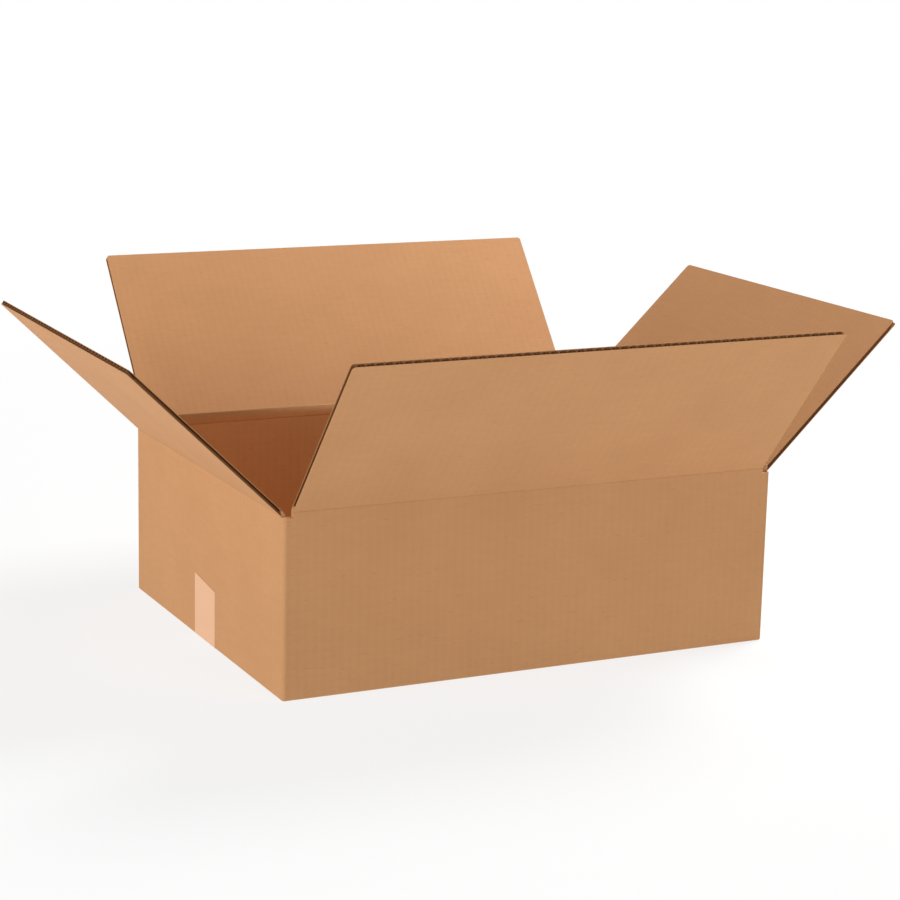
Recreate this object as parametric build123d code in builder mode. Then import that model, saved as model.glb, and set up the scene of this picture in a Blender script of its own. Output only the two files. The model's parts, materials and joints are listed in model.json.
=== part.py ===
"""
Shipping carton, a regular slotted container (RSC), erected with its bottom taped and its
four top flaps standing open.

Frame: +Z up, X along the carton's length, Y across it, origin on the floor under the middle.
The front is -Y and the left end is -X. The underside of the tape rests on z = 0.
The front and back walls carry the long flaps, and the two ends carry the short flaps.
"""

import math
import os

from build123d import *

os.makedirs("parts", exist_ok=True)

# ---- driving dimensions, mm -----------------------------------------------------------------

inside_length = 457.2  # between the ends: an 18 in stock carton
inside_width = 355.6  # between the front and back walls: 14 in
wall_height = 159.8  # from the underside of the carton to the long flaps' creases
board = 4.0  # thickness of C-flute board

flute_pitch = 7.9  # crest to crest of the fluted medium
flute_crest = 1.6  # width over which the medium is glued to a liner
liner = 0.4
medium = 0.35
flute_margin = 4.0  # least solid edge beside the first and last flute
crushed_band = 8.0  # solid board next to a crease, where scoring crushed the flutes

slot_inset = 8.0  # how far the long flaps stop short of the carton's ends
short_flap_play = 0.6  # between a closed short flap and each long wall
closing_gap = 1.0  # between the long flaps' free edges when closed
lap_gap = 0.3  # between the closed long flaps and the short flaps under them
crease_gap = 0.4  # between a wall and its flap, at the crease
flap_corner = 3.0  # rounding of a top flap's free corners

long_flap_lean = 39.5  # degrees that the front and back flaps stand out from upright
short_flap_lean = 46.0  # the same for the flaps of the two ends

corner_fold = 3.0  # outer radius of a folded upright corner
bottom_fold = 1.5  # outer radius of the folds along the floor
seam_gap = 2.0  # between the free edges of the long bottom flaps

tab_width = 32.0  # glue tab inside the back right corner
tab_thickness = 3.0  # the tab is pressed thinner than the board when it is glued
tab_clearance = 4.0  # from the tab to the closed short flap above and the bottom flap below
tab_taper = 12.0  # how much shorter the tab's free edge is, at each of its ends

tape_thickness = 0.2
tape_width = 50.0
tape_leg_back = 57.0  # how far the tape runs up each end, along its back edge
tape_leg_front = 51.5  # the same along its front edge: it is cut slightly askew

# ---- sizes that follow ----------------------------------------------------------------------

length = inside_length + 2 * board
width = inside_width + 2 * board
floor_z = tape_thickness
long_crease = floor_z + wall_height
short_crease = long_crease - board - lap_gap
flap_length = (width - closing_gap) / 2
long_flap_width = length - 2 * slot_inset
short_flap_width = inside_width - 2 * short_flap_play


def flute_cells(plane, across):
    """The hollow cells of the board's section, centred on a plane whose X runs across the
    flutes and whose Y runs through the board."""
    core = board - 2 * liner
    rise = core - medium
    run = flute_pitch / 2 - flute_crest
    ramp_angle = math.degrees(math.atan2(rise, run))
    medium_along = medium / math.sin(math.radians(ramp_angle))
    cell = flute_crest + (2 * core - medium) * run / rise - medium_along
    pairs = int((across - 2 * flute_margin - cell) // flute_pitch)
    with BuildSketch(plane) as cells:
        with GridLocations(flute_pitch, 0, pairs + 1, 1):
            with Locations((0, -medium / 2)):
                Trapezoid(cell, rise, ramp_angle)
        with GridLocations(flute_pitch, 0, pairs, 1):
            with Locations((0, medium / 2)):
                Trapezoid(cell, rise, ramp_angle, rotation=180)
    return cells.sketch


def crease_plane(outward, reach, height, lean):
    """A top flap's own plane, on its crease: X along the crease, Y up the flap to its free
    edge, Z through the board from its outer face to its inner face."""
    lean = math.radians(lean)
    up = Vector(0, 0, 1)
    return Plane(
        origin=outward * reach + up * height,
        x_dir=outward.cross(up),
        z_dir=up * math.sin(lean) - outward * math.cos(lean),
    )


def top_flap(crease, across):
    """A flap that turns about its crease, the corner of its outer face. Its root is mitred,
    as the top of the wall is, so that it can fold flat over the carton."""
    side_view = Plane(crease.origin, x_dir=crease.y_dir, z_dir=crease.x_dir)
    section = Plane(
        crease.from_local_coords((0, flap_length, board / 2)),
        x_dir=crease.x_dir,
        z_dir=crease.y_dir,
    )
    root = crease_gap / 2
    with BuildPart() as flap:
        with BuildSketch(side_view):
            with BuildLine():
                Polyline(
                    (root, 0),
                    (flap_length, 0),
                    (flap_length, board),
                    (root + board, board),
                    close=True,
                )
            make_face()
        extrude(amount=across / 2, both=True)
        through_board = Axis(crease.origin, crease.z_dir)
        up_the_flap = Axis(crease.origin, crease.y_dir)
        free_corners = edges().filter_by(through_board).group_by(up_the_flap)[-1]
        fillet(free_corners, flap_corner)
        extrude(
            flute_cells(section, across),
            amount=-(flap_length - board - crushed_band),
            mode=Mode.SUBTRACT,
        )
    return flap


# ---- carton body: walls, bottom flaps and glue tab, one folded sheet ---------------------------

long_wall_top = long_crease - crease_gap / 2
short_wall_top = short_crease - crease_gap / 2

with BuildPart() as carton_body:
    # the four walls, up to the short flaps' creases; the glued corner stays sharp
    with BuildSketch(Plane.XY.offset(floor_z)):
        Rectangle(length, width)
        glued_corner = vertices().sort_by(Axis((0, 0, 0), (1, 1, 0)))[-1]
        fillet(vertices() - [glued_corner], corner_fold)
    extrude(amount=short_wall_top - floor_z)
    fillet(faces().sort_by(Axis.Z)[0].edges(), bottom_fold)
    with BuildSketch(Plane.XY.offset(floor_z)):
        Rectangle(inside_length, inside_width)
    extrude(amount=short_wall_top - floor_z, mode=Mode.SUBTRACT)

    # the front and back walls stand higher under their flaps, with mitred tops
    with BuildSketch(Plane.YZ):
        with BuildLine():
            Polyline(
                (width / 2, short_wall_top),
                (width / 2, long_wall_top),
                (inside_width / 2, long_wall_top - board),
                (inside_width / 2, short_wall_top),
                close=True,
            )
        make_face()
        mirror(about=Plane.YZ)
    extrude(amount=long_flap_width / 2, both=True)

    # the mitred tops of the ends
    with BuildSketch(Plane.XZ):
        with BuildLine():
            Polyline(
                (length / 2, short_wall_top),
                (inside_length / 2, short_wall_top),
                (inside_length / 2, short_wall_top - board),
                close=True,
            )
        make_face()
        mirror(about=Plane.YZ)
    extrude(amount=inside_width / 2, both=True, mode=Mode.SUBTRACT)

    # the long bottom flaps lie on the floor and meet at the seam
    with BuildSketch(Plane.XY.offset(floor_z)):
        Rectangle(long_flap_width, inside_width)
        Rectangle(long_flap_width, seam_gap, mode=Mode.SUBTRACT)
    extrude(amount=board)

    # the short bottom flaps lie on them, and show their flutes along their free edges
    for end in (-1, 1):
        free_edge = end * (length / 2 - flap_length)
        middle = (end * inside_length / 2 + free_edge) / 2
        with BuildSketch(Plane.XY.offset(floor_z + board)):
            with Locations((middle, 0)):
                Rectangle(abs(end * inside_length / 2 - free_edge), short_flap_width)
        extrude(amount=board)
        section = Plane((free_edge, 0, floor_z + board * 1.5), x_dir=(0, 1, 0), z_dir=(end, 0, 0))
        extrude(
            flute_cells(section, short_flap_width),
            amount=flap_length - board - crushed_band,
            mode=Mode.SUBTRACT,
        )

    # the glue tab, folded from the right end and glued inside the back wall
    tab_foot = floor_z + 2 * board + tab_clearance
    tab_head = short_wall_top - board - tab_clearance
    with BuildSketch(Plane.XZ.offset(-inside_width / 2)):
        with BuildLine():
            Polyline(
                (inside_length / 2, tab_foot),
                (inside_length / 2, tab_head),
                (inside_length / 2 - tab_width, tab_head - tab_taper),
                (inside_length / 2 - tab_width, tab_foot + tab_taper),
                close=True,
            )
        make_face()
    extrude(amount=tab_thickness)

carton_body.part.label = "carton_body"
export_step(carton_body.part, "parts/carton_body.step")

# ---- top flaps ------------------------------------------------------------------------------

front_crease = crease_plane(Vector(0, -1, 0), width / 2, long_crease, long_flap_lean)
front_flap = top_flap(front_crease, long_flap_width)
front_flap.part.label = "front_flap"
export_step(front_flap.part, "parts/front_flap.step")

back_crease = crease_plane(Vector(0, 1, 0), width / 2, long_crease, long_flap_lean)
back_flap = top_flap(back_crease, long_flap_width)
back_flap.part.label = "back_flap"
export_step(back_flap.part, "parts/back_flap.step")

left_crease = crease_plane(Vector(-1, 0, 0), length / 2, short_crease, short_flap_lean)
left_flap = top_flap(left_crease, short_flap_width)
left_flap.part.label = "left_flap"
export_step(left_flap.part, "parts/left_flap.step")

right_crease = crease_plane(Vector(1, 0, 0), length / 2, short_crease, short_flap_lean)
right_flap = top_flap(right_crease, short_flap_width)
right_flap.part.label = "right_flap"
export_step(right_flap.part, "parts/right_flap.step")

# ---- tape along the bottom seam and up both ends ------------------------------------------------

with BuildPart() as bottom_tape:
    with BuildSketch(Plane.XZ):
        with Locations((0, tape_leg_back / 2)):
            Rectangle(length + 2 * tape_thickness, tape_leg_back)
        fillet(vertices().group_by(Axis.Y)[0], bottom_fold + tape_thickness)
    extrude(amount=tape_width / 2, both=True)
    with BuildSketch(Plane.XZ):
        with Locations((0, floor_z + tape_leg_back / 2)):
            Rectangle(length, tape_leg_back)
        fillet(vertices().group_by(Axis.Y)[0], bottom_fold)
    extrude(amount=tape_width / 2, both=True, mode=Mode.SUBTRACT)
    with BuildSketch(Plane.YZ):
        with BuildLine():
            Polyline(
                (-tape_width / 2, 0),
                (tape_width / 2, 0),
                (tape_width / 2, tape_leg_back),
                (-tape_width / 2, tape_leg_front),
                close=True,
            )
        make_face()
    extrude(amount=length, both=True, mode=Mode.INTERSECT)

bottom_tape.part.label = "bottom_tape"
export_step(bottom_tape.part, "parts/bottom_tape.step")
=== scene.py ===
"""Looks of an erected shipping carton of fluted kraft board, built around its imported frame."""

import json
import math

import bpy
from mathutils import Matrix, Vector


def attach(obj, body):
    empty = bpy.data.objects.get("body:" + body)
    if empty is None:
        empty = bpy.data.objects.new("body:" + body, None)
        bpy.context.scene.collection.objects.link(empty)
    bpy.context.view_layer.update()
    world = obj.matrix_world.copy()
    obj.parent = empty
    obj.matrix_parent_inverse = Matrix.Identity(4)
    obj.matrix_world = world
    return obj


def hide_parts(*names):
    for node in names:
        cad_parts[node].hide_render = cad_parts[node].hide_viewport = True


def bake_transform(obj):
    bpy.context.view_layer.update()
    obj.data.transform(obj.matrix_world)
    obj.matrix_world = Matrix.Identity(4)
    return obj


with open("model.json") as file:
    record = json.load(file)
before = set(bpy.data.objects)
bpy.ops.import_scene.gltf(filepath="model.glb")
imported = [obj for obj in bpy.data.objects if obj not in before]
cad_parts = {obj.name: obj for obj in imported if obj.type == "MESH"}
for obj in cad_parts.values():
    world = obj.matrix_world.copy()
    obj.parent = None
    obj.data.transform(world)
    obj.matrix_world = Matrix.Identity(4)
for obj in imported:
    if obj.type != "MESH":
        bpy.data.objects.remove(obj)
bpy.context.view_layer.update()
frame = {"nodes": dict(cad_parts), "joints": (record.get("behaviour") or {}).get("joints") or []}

bl_info = {
    "name": "Shipping carton",
    "version": (1, 0, 0),
    "blender": (4, 5, 0),
    "location": "View3D > Sidebar > Carton",
    "description": "Fluted flaps, creased folds, kraft paper and a studio for a shipping carton",
    "category": "Object",
}

JOINTS = {joint["child"]: joint for joint in frame["joints"]}
UP = Vector((0, 0, 1))
FLAPS = ("front_flap", "back_flap", "left_flap", "right_flap")
# Long flaps hinge on the walls that face Y, short ones on the ends.
FACES_Y = 0.5

# Finer work of the mesh: points along one flute, and along one rounded corner or crease.
FLUTE_STEPS = 16
CORNER_STEPS = 6
CREASE_STEPS = 10
# How far a crease's inner skin is pulled from its ends towards the corner between the panels.
CREASE_PULL = 0.85

# Noise scales of the papers and the tape, in features a metre.
CLOUD_SCALE = 14.0
WANDER_SCALE = 30.0
STREAK_SCALE = 260.0
FLECK_SCALE = 700.0
FIBRE_SCALE = 1500.0
FLUTE_SCALE = 900.0
FUR_SCALE = 1400.0
POCKET_SCALE = 240.0
FILM_STREAK_SCALE = 300.0
FILM_CREASE_SCALE = 60.0
FLOOR_CLOUD_SCALE = 2.0

WHITE = (1, 1, 1, 1)
# What the lamps point at, and where they stand: low at the left, low in front, over the right end.
LAMP_TARGET = (0, 0, 0.1)
KEY_PLACE = (-2.6, -0.4, 0.8)
FILL_PLACE = (0.8, -3.2, 1.0)
TOP_PLACE = (1.4, 0.38, 1.7)


# ---- settings ---------------------------------------------------------------------------------


def metres(name, description, default):
    """A length that a user can set."""
    return bpy.props.FloatProperty(
        name=name, description=description, default=default, unit="LENGTH", precision=5
    )


def tone(name, description, default):
    """A colour that a user can set."""
    return bpy.props.FloatVectorProperty(
        name=name, description=description, default=default, subtype="COLOR", min=0, max=1
    )


def number(name, description, default):
    """A plain number that a user can set."""
    return bpy.props.FloatProperty(name=name, description=description, default=default)


def degrees(name, description, default):
    """An angle that a user can set, given here in degrees."""
    return bpy.props.FloatProperty(
        name=name, description=description, default=math.radians(default), subtype="ANGLE"
    )


class CartonBoardSettings(bpy.types.PropertyGroup):
    """Sizes and colours of the corrugated board."""

    thickness: metres("Board", "Thickness of the board", 0.004)
    liner: metres("Liner", "Thickness of each flat liner", 0.00035)
    medium: metres("Medium", "Thickness of the fluted medium", 0.0003)
    pitch: metres("Pitch", "Crest to crest of the flutes", 0.0079)
    crease_gap: metres("Crease gap", "Between a wall's mitre and its flap's", 0.0004)
    recess: metres("Recess", "How far the medium stands back from a cut edge", 0.0003)
    corner: metres("Corner", "Rounding of a flap's free corners", 0.003)
    groove: metres("Groove", "Depth of the crease on the outer face", 0.0007)
    long_lean: degrees("Long lean", "Front and back flaps, out from upright", 39.5)
    short_lean: degrees("Short lean", "End flaps, out from upright", 46.0)
    kraft: tone("Kraft", "Paper of the two liners", (0.565, 0.288, 0.128))
    kraft_dark: tone("Kraft shade", "Darker clouds in the paper", (0.535, 0.268, 0.117))
    fleck: tone("Fleck", "Dark fibres in the paper", (0.26, 0.12, 0.05))
    flute: tone("Flute", "Paper of the fluted medium", (0.2, 0.088, 0.034))
    # Both flute settings scale the flute bumps and also the painted shade stripes along the flutes.
    flute_bump_and_shade: number("Washboard", "How much the flutes show through a flat panel", 1.0)
    crease_flute_bump_and_shade: number("Crease washboard", "The same at a crease, where they are crushed", 0.3)


class CartonTapeSettings(bpy.types.PropertyGroup):
    """Colours of the packing tape."""

    film: tone("Film", "Tape over the board", (0.77, 0.43, 0.23))
    film_thin: tone("Thin film", "Where the glue has wetted the paper", (0.73, 0.4, 0.21))


class CartonStageSettings(bpy.types.PropertyGroup):
    """Camera, lamps and floor."""

    camera_x: metres("Camera X", "Camera place along the length", -0.9598)
    camera_y: metres("Camera Y", "Camera place across the width", -1.96)
    camera_z: metres("Camera Z", "Camera height", 0.6496)
    camera_yaw: degrees("Camera yaw", "Turn to the right from the +Y direction", 26.205)
    camera_pitch: degrees("Camera pitch", "Downward tilt", 12.759)
    camera_roll: degrees("Camera roll", "Roll about the view", -1.333)
    lens: number("Lens", "Focal length in millimetres on a 36 mm sensor", 98.1)
    floor_size: metres("Floor", "Side of the square floor", 60.0)
    floor_tone: tone("Floor tone", "Colour of the pale floor", (0.9, 0.9, 0.9))
    floor_shade: tone("Floor shade", "Its faint clouds", (0.86, 0.86, 0.86))
    floor_glow: number("Floor glow", "Share of the floor that shines, under the carton", 0.8)
    glow_from: metres("Glow from", "Radius where the shining share starts to rise", 0.5)
    glow_to: metres("Glow to", "Radius where the whole floor shines", 1.5)
    key_power: number("Key", "Power of the low lamp at the left, in watts", 38.0)
    fill_power: number("Fill", "Power of the low lamp in front, in watts", 27.0)
    top_power: number("Top", "Power of the lamp over the right end, in watts", 55.0)
    room: number("Room", "Strength of the light from all round", 0.2)


# ---- shader expressions -------------------------------------------------------------------------


class Term:
    """A socket of a node tree, with Python's arithmetic written as Math nodes."""

    def __init__(self, tree, value):
        self.tree = tree
        self.value = value

    def _math(self, operation, *values):
        return self.tree.node("ShaderNodeMath", {"operation": operation}, dict(enumerate(values)))

    def __add__(self, other):
        return self._math("ADD", self, other)

    def __radd__(self, other):
        return self._math("ADD", other, self)

    def __sub__(self, other):
        return self._math("SUBTRACT", self, other)

    def __rsub__(self, other):
        return self._math("SUBTRACT", other, self)

    def __mul__(self, other):
        return self._math("MULTIPLY", self, other)

    def __rmul__(self, other):
        return self._math("MULTIPLY", other, self)

    def __gt__(self, other):
        return self._math("GREATER_THAN", self, other)

    def __abs__(self):
        return self._math("ABSOLUTE", self)

    def larger(self, other):
        """The larger of the two."""
        return self._math("MAXIMUM", self, other)

    def sine(self):
        """Its sine."""
        return self._math("SINE", self)

    def stretch(self, low, high):
        """0 at low, 1 at high, and clamped."""
        return self.tree.node(
            "ShaderNodeMapRange", {"clamp": True}, {"Value": self, "From Min": low, "From Max": high}
        )


class Nodes:
    """The node tree of a material or of the world."""

    def __init__(self, owner):
        owner.use_nodes = True
        self.owner = owner
        self.nodes = owner.node_tree.nodes
        self.links = owner.node_tree.links
        self.nodes.clear()

    def add(self, kind, settings=None, inputs=None):
        """Adds a node: its settings first, then its sockets' values or links."""
        made = self.nodes.new(kind)
        for key, value in (settings or {}).items():
            setattr(made, key, value)
        for key, value in (inputs or {}).items():
            if isinstance(value, Term):
                self.links.new(value.value, made.inputs[key])
            else:
                made.inputs[key].default_value = value
        return made

    def node(self, kind, settings=None, inputs=None, out=0):
        """Adds a node and gives one of its outputs, by number or name."""
        return Term(self, self.add(kind, settings, inputs).outputs[out])

    def place(self):
        """Where a point lies on its piece, in metres."""
        return self.node("ShaderNodeTexCoord", out="Object")

    def parts(self, vector):
        """The X, Y and Z of a vector."""
        split = self.add("ShaderNodeSeparateXYZ", None, {0: vector})
        return [Term(self, out) for out in split.outputs]

    def mix(self, share, first, second):
        """A colour between two."""
        return self.node(
            "ShaderNodeMix", {"data_type": "RGBA"}, {0: share, 6: first, 7: second}, out=2
        )

    def noise(self, vector, scale, detail=3.0, roughness=0.5):
        """Smooth noise between 0 and 1."""
        return self.node(
            "ShaderNodeTexNoise",
            {"noise_dimensions": "3D"},
            {"Vector": vector, "Scale": scale, "Detail": detail, "Roughness": roughness},
        )

    def bump(self, height, distance, strength):
        """A normal tilted by a height."""
        return self.node(
            "ShaderNodeBump", None, {"Height": height, "Distance": distance, "Strength": strength}
        )

    def surface(self, **inputs):
        """Ends a material in one Principled shader and gives the material."""
        named = {key.replace("_", " "): value for key, value in inputs.items()}
        shader = self.node("ShaderNodeBsdfPrincipled", None, named)
        self.add("ShaderNodeOutputMaterial", None, {"Surface": shader})
        return self.owner


def rgb(colour, strength=1.0):
    """A colour setting, made lighter or darker, as a plain tuple with alpha."""
    return (*(min(1.0, part * strength) for part in colour), 1.0)


# ---- materials ----------------------------------------------------------------------------------


def board_grain(finish):
    """(place, place stretched along the paper's grain, distance across the flutes). The flutes
    stand side by side along X on the long panels and along Y on the ends."""
    end_from = 0.3
    grain_stretch = 0.22
    place = finish.place()
    facing = finish.parts(finish.node("ShaderNodeTexCoord", out="Normal"))[0]
    x, y, z = finish.parts(place)
    on_end = abs(facing) > end_from
    across = x + (y - x) * on_end
    beside = y + (x - y) * on_end
    grain = finish.node("ShaderNodeCombineXYZ", None, {0: across * grain_stretch, 1: beside, 2: z})
    return place, grain, across


def kraft_paper(name, board, flute_bump_and_shade):
    """Brown kraft liner: cloudy, with long fibres and dark flecks; the flutes show faintly as bumps and
    as painted shade stripes.
    """
    finish = Nodes(bpy.data.materials.new(name))
    place, grain, across = board_grain(finish)
    clouds = finish.noise(place, CLOUD_SCALE, detail=4.0, roughness=0.6).stretch(0.32, 0.68)
    streaks = finish.noise(grain, STREAK_SCALE, detail=3.0, roughness=0.6)
    fibres = finish.noise(grain, FIBRE_SCALE, detail=2.0, roughness=0.6)
    flecks = finish.noise(grain, FLECK_SCALE, detail=2.0, roughness=0.5).stretch(0.66, 0.74)
    wander = finish.noise(place, WANDER_SCALE, detail=2.0) * 1.6
    ridges = (across * (2 * math.pi / board.pitch) + wander).sine() * 0.5 + 0.5

    streak_share = (streaks - 0.5) * 0.5 + 0.12
    # Painted shade: the flute ridges darken the paper in stripes, standing in for the washboard
    # ripples' shading, on top of their bump.
    ridge_shade_share = ridges * (0.05 * flute_bump_and_shade)
    fleck_share = flecks * 0.22
    paper = finish.mix(clouds, rgb(board.kraft_dark), rgb(board.kraft))
    streaked = finish.mix(streak_share, paper, rgb(board.kraft, 0.8))
    # Painted shade stripes along the flutes, in a darker copy of the kraft.
    ridge_shaded = finish.mix(ridge_shade_share, streaked, rgb(board.kraft, 0.62))
    flecked = finish.mix(fleck_share, ridge_shaded, rgb(board.fleck))

    height = fibres * 0.35 + streaks * 0.4 + ridges * (0.5 * flute_bump_and_shade) + clouds * 0.2
    return finish.surface(
        Base_Color=flecked,
        Roughness=streaks * 0.12 + 0.74,
        Specular_IOR_Level=0.22,
        Normal=finish.bump(height, distance=0.00012, strength=0.7),
    )


def flute_paper(board):
    """The soft fluted medium, coloured far darker than the liners."""
    finish = Nodes(bpy.data.materials.new("flute_paper"))
    grains = finish.noise(finish.place(), FLUTE_SCALE, detail=3.0, roughness=0.6)
    return finish.surface(
        Base_Color=finish.mix(grains, rgb(board.flute, 0.8), rgb(board.flute, 1.2)),
        Roughness=0.92,
        Specular_IOR_Level=0.1,
        Normal=finish.bump(grains, distance=0.0001, strength=0.6),
    )


def cut_paper(board):
    """The cut rims of the liners, furred and a little darker than the faces."""
    finish = Nodes(bpy.data.materials.new("cut_paper"))
    fur = finish.noise(finish.place(), FUR_SCALE, detail=3.0, roughness=0.7)
    return finish.surface(
        Base_Color=finish.mix(fur, rgb(board.kraft, 0.72), rgb(board.kraft, 1.02)),
        Roughness=0.9,
        Specular_IOR_Level=0.15,
        Normal=finish.bump(fur, distance=0.0002, strength=0.8),
    )


def tape_film(tape):
    """Clear tan packing tape: glossy, with the paper's grain and small air pockets under it."""
    finish = Nodes(bpy.data.materials.new("tape_film"))
    place, grain, _ = board_grain(finish)
    pockets = finish.noise(place, POCKET_SCALE, detail=3.0, roughness=0.6).stretch(0.42, 0.62)
    streaks = finish.noise(grain, FILM_STREAK_SCALE, detail=3.0, roughness=0.6)
    creases = finish.noise(place, FILM_CREASE_SCALE, detail=2.0, roughness=0.5)
    wetted = pockets * 0.5 + (streaks - 0.5) * 0.5
    return finish.surface(
        Base_Color=finish.mix(wetted, rgb(tape.film_thin), rgb(tape.film)),
        Roughness=0.34 + pockets * 0.1,
        Specular_IOR_Level=0.45,
        Normal=finish.bump(creases * 0.7 + pockets * 0.1, distance=0.0003, strength=0.5),
    )


def floor_paint(settings):
    """Pale floor, lit from within like a light table and more so away from the carton."""
    finish = Nodes(bpy.data.materials.new("pale_floor"))
    place = finish.place()
    clouds = finish.noise(place, FLOOR_CLOUD_SCALE) * 0.04
    tint = finish.mix(clouds, rgb(settings.floor_tone), rgb(settings.floor_shade))
    matt = finish.node("ShaderNodeBsdfDiffuse", None, {"Color": tint})
    glow = finish.node("ShaderNodeEmission", None, {"Color": WHITE, "Strength": 1.0})
    far = finish.node("ShaderNodeVectorMath", {"operation": "LENGTH"}, {0: place}, out="Value")
    rise = far.stretch(settings.glow_from, settings.glow_to)
    share = rise * (1 - settings.floor_glow) + settings.floor_glow
    both = finish.node("ShaderNodeMixShader", None, {0: share, 1: matt, 2: glow})
    finish.add("ShaderNodeOutputMaterial", None, {"Surface": both})
    return finish.owner


# ---- meshes -------------------------------------------------------------------------------------


def new_piece(name, vertices, faces, materials, face_slots, smooth=()):
    """A mesh object from plain lists. face_slots gives each face its material, and the faces of
    the materials in smooth are shaded as one curve."""
    mesh = bpy.data.meshes.new(name)
    mesh.from_pydata([tuple(v) for v in vertices], [], faces)
    for material in materials:
        mesh.materials.append(material)
    for polygon, index in zip(mesh.polygons, face_slots):
        polygon.material_index = index
        polygon.use_smooth = index in smooth
    mesh.update()
    piece = bpy.data.objects.new(name, mesh)
    bpy.context.scene.collection.objects.link(piece)
    return piece


def refinish(node, material):
    """Gives a piece of the frame one material."""
    materials = frame["nodes"][node].data.materials
    materials.clear()
    materials.append(material)


def tube_faces(count):
    """(side faces, end faces) of a solid between two rings of count points each."""
    sides = [[i, (i + 1) % count, count + (i + 1) % count, count + i] for i in range(count)]
    ends = [list(range(count))[::-1], [count + i for i in range(count)]]
    return sides, ends


def meeting(first, first_way, second, second_way):
    """Where two lines in one plane meet."""
    across = first_way.cross(second_way)
    share = (second - first).cross(second_way).dot(across) / across.length_squared
    return first + first_way * share


class Crease:
    """A top flap's crease and the size of the flap above it, read off the frame. Its directions
    run along the crease, up the flap, through the board to its inner face, and out of the
    carton."""

    def __init__(self, name, board):
        joint = JOINTS[name]
        self.origin = Vector(joint["pos_m"])
        self.along = Vector(joint["axis"])
        self.outward = UP.cross(self.along)
        lean = board.long_lean if abs(self.outward.y) > FACES_Y else board.short_lean
        self.up_flap = self.outward * math.sin(lean) + UP * math.cos(lean)
        self.through = UP * math.sin(lean) - self.outward * math.cos(lean)
        corners = [v.co - self.origin for v in frame["nodes"][name].data.vertices]
        self.half = max(corner.dot(self.along) for corner in corners)
        self.length = max(corner.dot(self.up_flap) for corner in corners)


class Sheet:
    """Vertices and faces gathered in a flap's own coordinates: s along the crease, v up the
    flap, n through the board from its outer face."""

    def __init__(self, crease):
        self.crease = crease
        self.vertices = []
        self.faces = []
        self.slots = []

    def add(self, points, faces, slots):
        """Adds points (s, v, n) and the faces on them, each with its material's number."""
        first = len(self.vertices)
        crease = self.crease
        for s, v, n in points:
            self.vertices.append(
                crease.origin + crease.along * s + crease.up_flap * v + crease.through * n
            )
        self.faces += [[first + i for i in face] for face in faces]
        self.slots += slots

    def plate(self, outline, low, high, face_slot, rim_slot):
        """A flat plate: an outline of (s, v) points between two depths."""
        points = [(s, v, depth) for depth in (low, high) for s, v in outline]
        rims, faces = tube_faces(len(outline))
        slots = [face_slot] * len(faces) + [rim_slot] * len(rims)
        self.add(points, faces + rims, slots)


def rounded_outline(half, low, high, radius):
    """The flat outline of a flap, square at its crease and rounded at its free corners."""
    points = [(-half, low), (half, low)]
    for side, turn in ((1, 0), (-1, 90)):
        for step in range(CORNER_STEPS + 1):
            angle = math.radians(turn + 90 * step / CORNER_STEPS)
            centre = side * (half - radius)
            points.append((centre + radius * math.cos(angle), high - radius + radius * math.sin(angle)))
    return points


def add_medium(sheet, half, low, high, board, slot):
    """The fluted medium: a thin wave across the flap that runs from its root to its free edge,
    and that follows the rounded corners."""
    amplitude = (board.thickness - 2 * board.liner - board.medium) / 2
    middle = board.thickness / 2
    reach = half - board.recess
    count = int(2 * reach / board.pitch * FLUTE_STEPS)
    points = []
    for i in range(count + 1):
        s = -reach + 2 * reach * i / count
        phase = 2 * math.pi * s / board.pitch
        slope = amplitude * 2 * math.pi / board.pitch * math.cos(phase)
        n = middle + amplitude * math.sin(phase)
        skin = board.medium / 2 * math.hypot(1, slope)
        into = max(0.0, abs(s) - (half - board.corner))
        end = high - board.corner + math.sqrt(max(0.0, board.corner**2 - into**2)) - board.recess
        points += [(s, low, n - skin), (s, low, n + skin), (s, end, n - skin), (s, end, n + skin)]
    faces = []
    for i in range(count):
        a, b = 4 * i, 4 * i + 4
        faces += [[a, a + 2, b + 2, b], [a + 1, b + 1, b + 3, a + 3]]
        faces += [[a, b, b + 1, a + 1], [a + 2, a + 3, b + 3, b + 2]]
    last = 4 * count
    faces += [[0, 1, 3, 2], [last, last + 2, last + 3, last + 1]]
    sheet.add(points, faces, [slot] * len(faces))


# ---- operators ----------------------------------------------------------------------------------


class CARTON_OT_board(bpy.types.Operator):
    """Finish the carton's walls, bottom flaps and glue tab"""

    bl_idname = "carton.board"
    bl_label = "Carton walls"

    def execute(self, context):
        board = context.scene.carton_board
        refinish("carton_body", kraft_paper("kraft_walls", board, board.flute_bump_and_shade))
        return {"FINISHED"}


class CARTON_OT_top_flaps(bpy.types.Operator):
    """Build the four top flaps as two liners with a fluted medium between them"""

    bl_idname = "carton.top_flaps"
    bl_label = "Top flaps"

    def execute(self, context):
        board = context.scene.carton_board
        papers = [
            kraft_paper("kraft_flaps", board, board.flute_bump_and_shade),
            flute_paper(board),
            cut_paper(board),
        ]
        face, flute, rim = range(len(papers))
        outer_root = board.crease_gap / 2
        inner_root = outer_root + board.thickness
        for name in FLAPS:
            crease = Crease(name, board)
            half, length = crease.half, crease.length
            outer = rounded_outline(half, outer_root, length, board.corner)
            inner = rounded_outline(half, inner_root, length, board.corner)
            sheet = Sheet(crease)
            sheet.plate(outer, 0, board.liner, face, rim)
            sheet.plate(inner, board.thickness - board.liner, board.thickness, face, rim)
            add_medium(sheet, half, inner_root, length, board, flute)
            piece = new_piece(
                name + "_board", sheet.vertices, sheet.faces, papers, sheet.slots, smooth=(flute,)
            )
            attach(piece, name)
            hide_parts(name)
        return {"FINISHED"}


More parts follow.
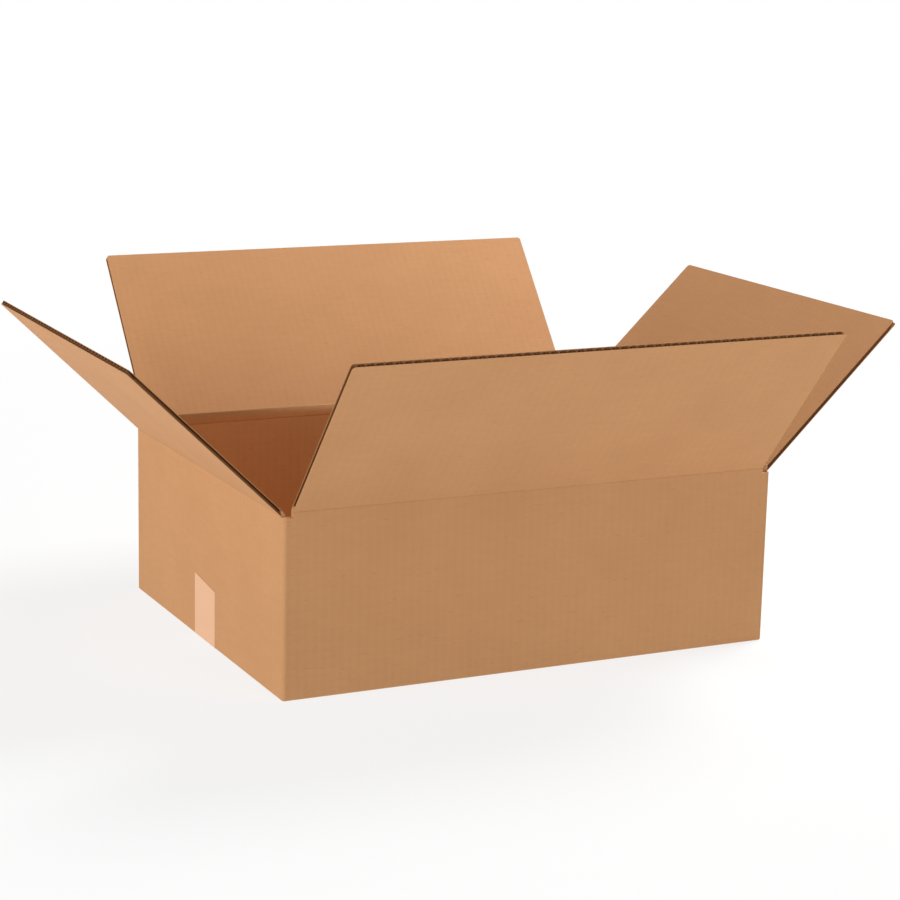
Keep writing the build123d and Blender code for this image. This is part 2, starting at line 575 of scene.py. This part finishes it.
class CARTON_OT_creases(bpy.types.Operator):
    """Build the creased fold that joins each top flap to its wall"""

    bl_idname = "carton.creases"
    bl_label = "Crease folds"

    def execute(self, context):
        board = context.scene.carton_board
        papers = [kraft_paper("kraft_creases", board, board.crease_flute_bump_and_shade), cut_paper(board)]
        skin, rim = range(len(papers))
        gap = board.crease_gap / 2
        deep = board.thickness
        for name in FLAPS:
            crease = Crease(name, board)
            foot = -crease.outward * deep - UP * (deep + gap)
            head = crease.through * deep + crease.up_flap * (deep + gap)
            groove = (crease.through - crease.outward) * (board.groove / 2)
            inner_skin = self.curve(foot, UP, head, crease.up_flap)
            section = [-UP * gap, *inner_skin, crease.up_flap * gap, groove]
            vertices = []
            for side in (-crease.half, crease.half):
                vertices += [crease.origin + crease.along * side + point for point in section]
            sides, ends = tube_faces(len(section))
            slots = [skin] * len(sides) + [rim] * len(ends)
            fold_name = name.replace("flap", "crease")
            fold = new_piece(fold_name, vertices, sides + ends, papers, slots, smooth=(skin,))
            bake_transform(fold)
        return {"FINISHED"}

    @staticmethod
    def curve(foot, foot_way, head, head_way):
        """Points of a smooth bend that leaves foot and reaches head along their directions."""
        bend = meeting(foot, foot_way, head, head_way)
        near_foot = foot.lerp(bend, CREASE_PULL)
        near_head = head.lerp(bend, CREASE_PULL)
        points = []
        for step in range(CREASE_STEPS + 1):
            t = step / CREASE_STEPS
            start = foot * (1 - t) ** 3 + near_foot * (3 * t * (1 - t) ** 2)
            points.append(start + near_head * (3 * t**2 * (1 - t)) + head * t**3)
        return points


class CARTON_OT_tape(bpy.types.Operator):
    """Finish the strip of packing tape under the carton and up both ends"""

    bl_idname = "carton.tape"
    bl_label = "Packing tape"

    def execute(self, context):
        refinish("bottom_tape", tape_film(context.scene.carton_tape))
        return {"FINISHED"}


class CARTON_OT_stage(bpy.types.Operator):
    """Set up the floor, the room light, the lamps and the camera"""

    bl_idname = "carton.stage"
    bl_label = "Studio"

    def execute(self, context):
        scene = context.scene
        settings = scene.carton_stage
        self.floor(settings)
        self.room(scene, settings)
        self.lamp("key_lamp", KEY_PLACE, 1.2, settings.key_power)
        self.lamp("fill_lamp", FILL_PLACE, 1.6, settings.fill_power)
        self.lamp("top_lamp", TOP_PLACE, 0.9, settings.top_power)
        self.camera(scene, settings)
        scene.view_settings.view_transform = "Standard"
        return {"FINISHED"}

    def floor(self, settings):
        """A wide square floor that keeps a soft shadow near the carton."""
        reach = settings.floor_size / 2
        corners = [(-reach, -reach, 0), (reach, -reach, 0), (reach, reach, 0), (-reach, reach, 0)]
        ground = new_piece("studio_floor", corners, [[0, 1, 2, 3]], [floor_paint(settings)], [0])

    def room(self, scene, settings):
        """Light from all round, and white wherever the camera or a gloss sees past the floor."""
        scene.world = bpy.data.worlds.new("studio_room")
        sky = Nodes(scene.world)
        rays = sky.add("ShaderNodeLightPath")
        seen = Term(sky, rays.outputs["Is Camera Ray"])
        for kind in ("Is Glossy Ray", "Is Transmission Ray"):
            seen = seen.larger(Term(sky, rays.outputs[kind]))
        soft = sky.node("ShaderNodeBackground", None, {"Color": WHITE, "Strength": settings.room})
        plain = sky.node("ShaderNodeBackground", None, {"Color": WHITE, "Strength": 1.0})
        both = sky.node("ShaderNodeMixShader", None, {0: seen, 1: soft, 2: plain})
        sky.add("ShaderNodeOutputWorld", None, {"Surface": both})

    def lamp(self, name, place, size, power):
        """A square soft lamp, of a size in metres, that points at the carton."""
        data = bpy.data.lights.new(name, "AREA")
        data.energy = power
        data.size = size
        lamp = bpy.data.objects.new(name, data)
        lamp.location = place
        lamp.rotation_mode = "QUATERNION"
        lamp.rotation_quaternion = (Vector(LAMP_TARGET) - Vector(place)).to_track_quat("-Z", "Y")
        bpy.context.scene.collection.objects.link(lamp)

    def camera(self, scene, settings):
        """A long lens that looks down a little at the near left corner."""
        data = bpy.data.cameras.new("studio_camera")
        data.lens = settings.lens
        data.sensor_width = 36
        data.clip_start = 0.05
        data.clip_end = 200
        yaw = Matrix.Rotation(-settings.camera_yaw, 4, "Z")
        pitch = Matrix.Rotation(math.pi / 2 - settings.camera_pitch, 4, "X")
        roll = Matrix.Rotation(-settings.camera_roll, 4, "Z")
        place = Matrix.Translation((settings.camera_x, settings.camera_y, settings.camera_z))
        camera = bpy.data.objects.new("studio_camera", data)
        camera.matrix_world = place @ yaw @ pitch @ roll
        scene.collection.objects.link(camera)
        bpy.context.scene.camera = camera


class CARTON_PT_sidebar(bpy.types.Panel):
    """Lists the carton's settings and steps"""

    bl_label = "Shipping carton"
    bl_space_type = "VIEW_3D"
    bl_region_type = "UI"
    bl_category = "Carton"

    def draw(self, context):
        for name in SETTINGS:
            group = getattr(context.scene, name)
            box = self.layout.box()
            for key in group.__annotations__:
                box.prop(group, key)
        for operator in OPERATORS:
            self.layout.operator(operator.bl_idname)


SETTINGS = {
    "carton_board": CartonBoardSettings,
    "carton_tape": CartonTapeSettings,
    "carton_stage": CartonStageSettings,
}
OPERATORS = (
    CARTON_OT_board,
    CARTON_OT_top_flaps,
    CARTON_OT_creases,
    CARTON_OT_tape,
    CARTON_OT_stage,
)


def register():
    for name, group in SETTINGS.items():
        bpy.utils.register_class(group)
        setattr(bpy.types.Scene, name, bpy.props.PointerProperty(type=group))
    for operator in OPERATORS:
        bpy.utils.register_class(operator)
    bpy.utils.register_class(CARTON_PT_sidebar)


def unregister():
    bpy.utils.unregister_class(CARTON_PT_sidebar)
    for operator in reversed(OPERATORS):
        bpy.utils.unregister_class(operator)
    for name, group in SETTINGS.items():
        delattr(bpy.types.Scene, name)
        bpy.utils.unregister_class(group)


def main():
    register()
    bpy.ops.carton.board()
    bpy.ops.carton.top_flaps()
    bpy.ops.carton.creases()
    bpy.ops.carton.tape()
    bpy.ops.carton.stage()


if __name__ == "__main__":
    main()
